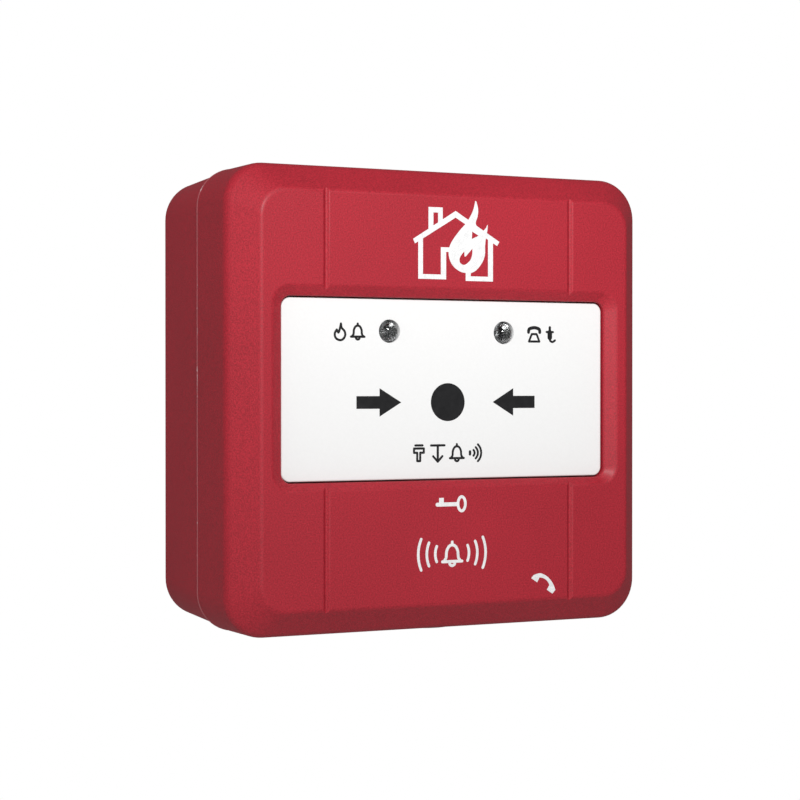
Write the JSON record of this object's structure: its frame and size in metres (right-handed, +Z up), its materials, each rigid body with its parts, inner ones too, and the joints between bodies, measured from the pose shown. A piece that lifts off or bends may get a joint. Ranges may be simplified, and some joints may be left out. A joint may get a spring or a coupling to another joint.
{
  "type": "manual call point",
  "caption": "Red surface-mounted manual call point with a white press plate, two clear lamps, a key reset and a handset socket.",
  "frame": {"origin": "centre of the back face, which lies against the wall, at half the height and half the width", "axes": "+X to the right seen from the front, +Y into the wall (the front faces -Y), +Z up"},
  "size_m": [0.0976, 0.045, 0.098],
  "materials": {
    "red_housing": "fine matte grain, moulded ABS",
    "white_plate": "smooth satin, moulded ABS",
    "black_plastic": "satin moulded nylon",
    "ivory_plastic": "satin acetal",
    "clear_epoxy": "clear cast epoxy",
    "board_green": "glossy solder mask",
    "steel": "zinc-plated steel",
    "spring_steel": "polished spring wire",
    "brass": "plain brass",
    "tin": "tinned leads",
    "black_ink": "pad-printed black ink",
    "white_ink": "pad-printed white ink"
  },
  "bodies": {
    "housing": {"back_box": "red_housing", "front_cover": "red_housing", "inner_frame": "black_plastic", "frame_screws": "steel", "plate_spring_left": "spring_steel", "plate_spring_right": "spring_steel", "latch_spring": "spring_steel", "key_bush": "steel", "circuit_board": "board_green", "board_screws": "steel", "lamp_fire": "clear_epoxy", "lamp_phone": "clear_epoxy", "lamp_leads": "tin", "lamp_spacers": "black_plastic", "switch_case": "black_plastic", "switch_pins": "tin", "controller_chip": "black_plastic", "chip_leads": "tin", "capacitor": "black_plastic", "crystal_can": "steel", "resistors": "black_plastic", "blade_header": "ivory_plastic", "contact_blades": "brass", "terminal_block": "black_plastic", "terminal_clamps": "brass", "terminal_screws": "steel", "socket_springs": "brass", "jack_body": "black_plastic", "jack_sleeve": "steel", "jack_nut": "steel", "jack_contacts": "brass"},
    "plate": {"press_plate": "white_plate"},
    "latch": {"latch_slide": "ivory_plastic"},
    "key": {"key_barrel": "steel", "barrel_clip": "spring_steel"},
    "lever": {"switch_lever": "spring_steel"},
    "button": {"switch_button": "ivory_plastic"}
  },
  "joints": [
    {"name": "plate_press", "type": "slide", "parent": "housing", "child": "plate", "axis": [0, 1, 0], "range_m": [0, 0.0025], "stiffness_N_per_m": 1500, "springref_m": -0.002, "deforming": ["plate_spring_left", "plate_spring_right"]},
    {"name": "key_turn", "type": "hinge", "parent": "housing", "child": "key", "pos_m": [0, -0.031, -0.045], "axis": [0, 0, 1], "range_deg": [0, 90]},
    {"name": "latch_shift", "type": "slide", "parent": "housing", "child": "latch", "axis": [1, 0, 0], "range_m": [0, 0.00311], "stiffness_N_per_m": 150, "springref_m": -0.003, "deforming": ["latch_spring"]},
    {"name": "lever_swing", "type": "hinge", "parent": "housing", "child": "lever", "pos_m": [-0.0052, -0.0359, -0.005], "axis": [0, 0, 1], "range_deg": [0, 13.1]},
    {"name": "button_press", "type": "slide", "parent": "housing", "child": "button", "axis": [0, 1, 0], "range_m": [0, 0.00055]}
  ],
  "couplings": [
    {"joint": "key_turn", "follows": "latch_shift", "rad_per_m": 505},
    {"joint": "lever_swing", "follows": "plate_press", "rad_per_m": 90.757},
    {"joint": "button_press", "follows": "plate_press", "ratio": 0.2}
  ]
}
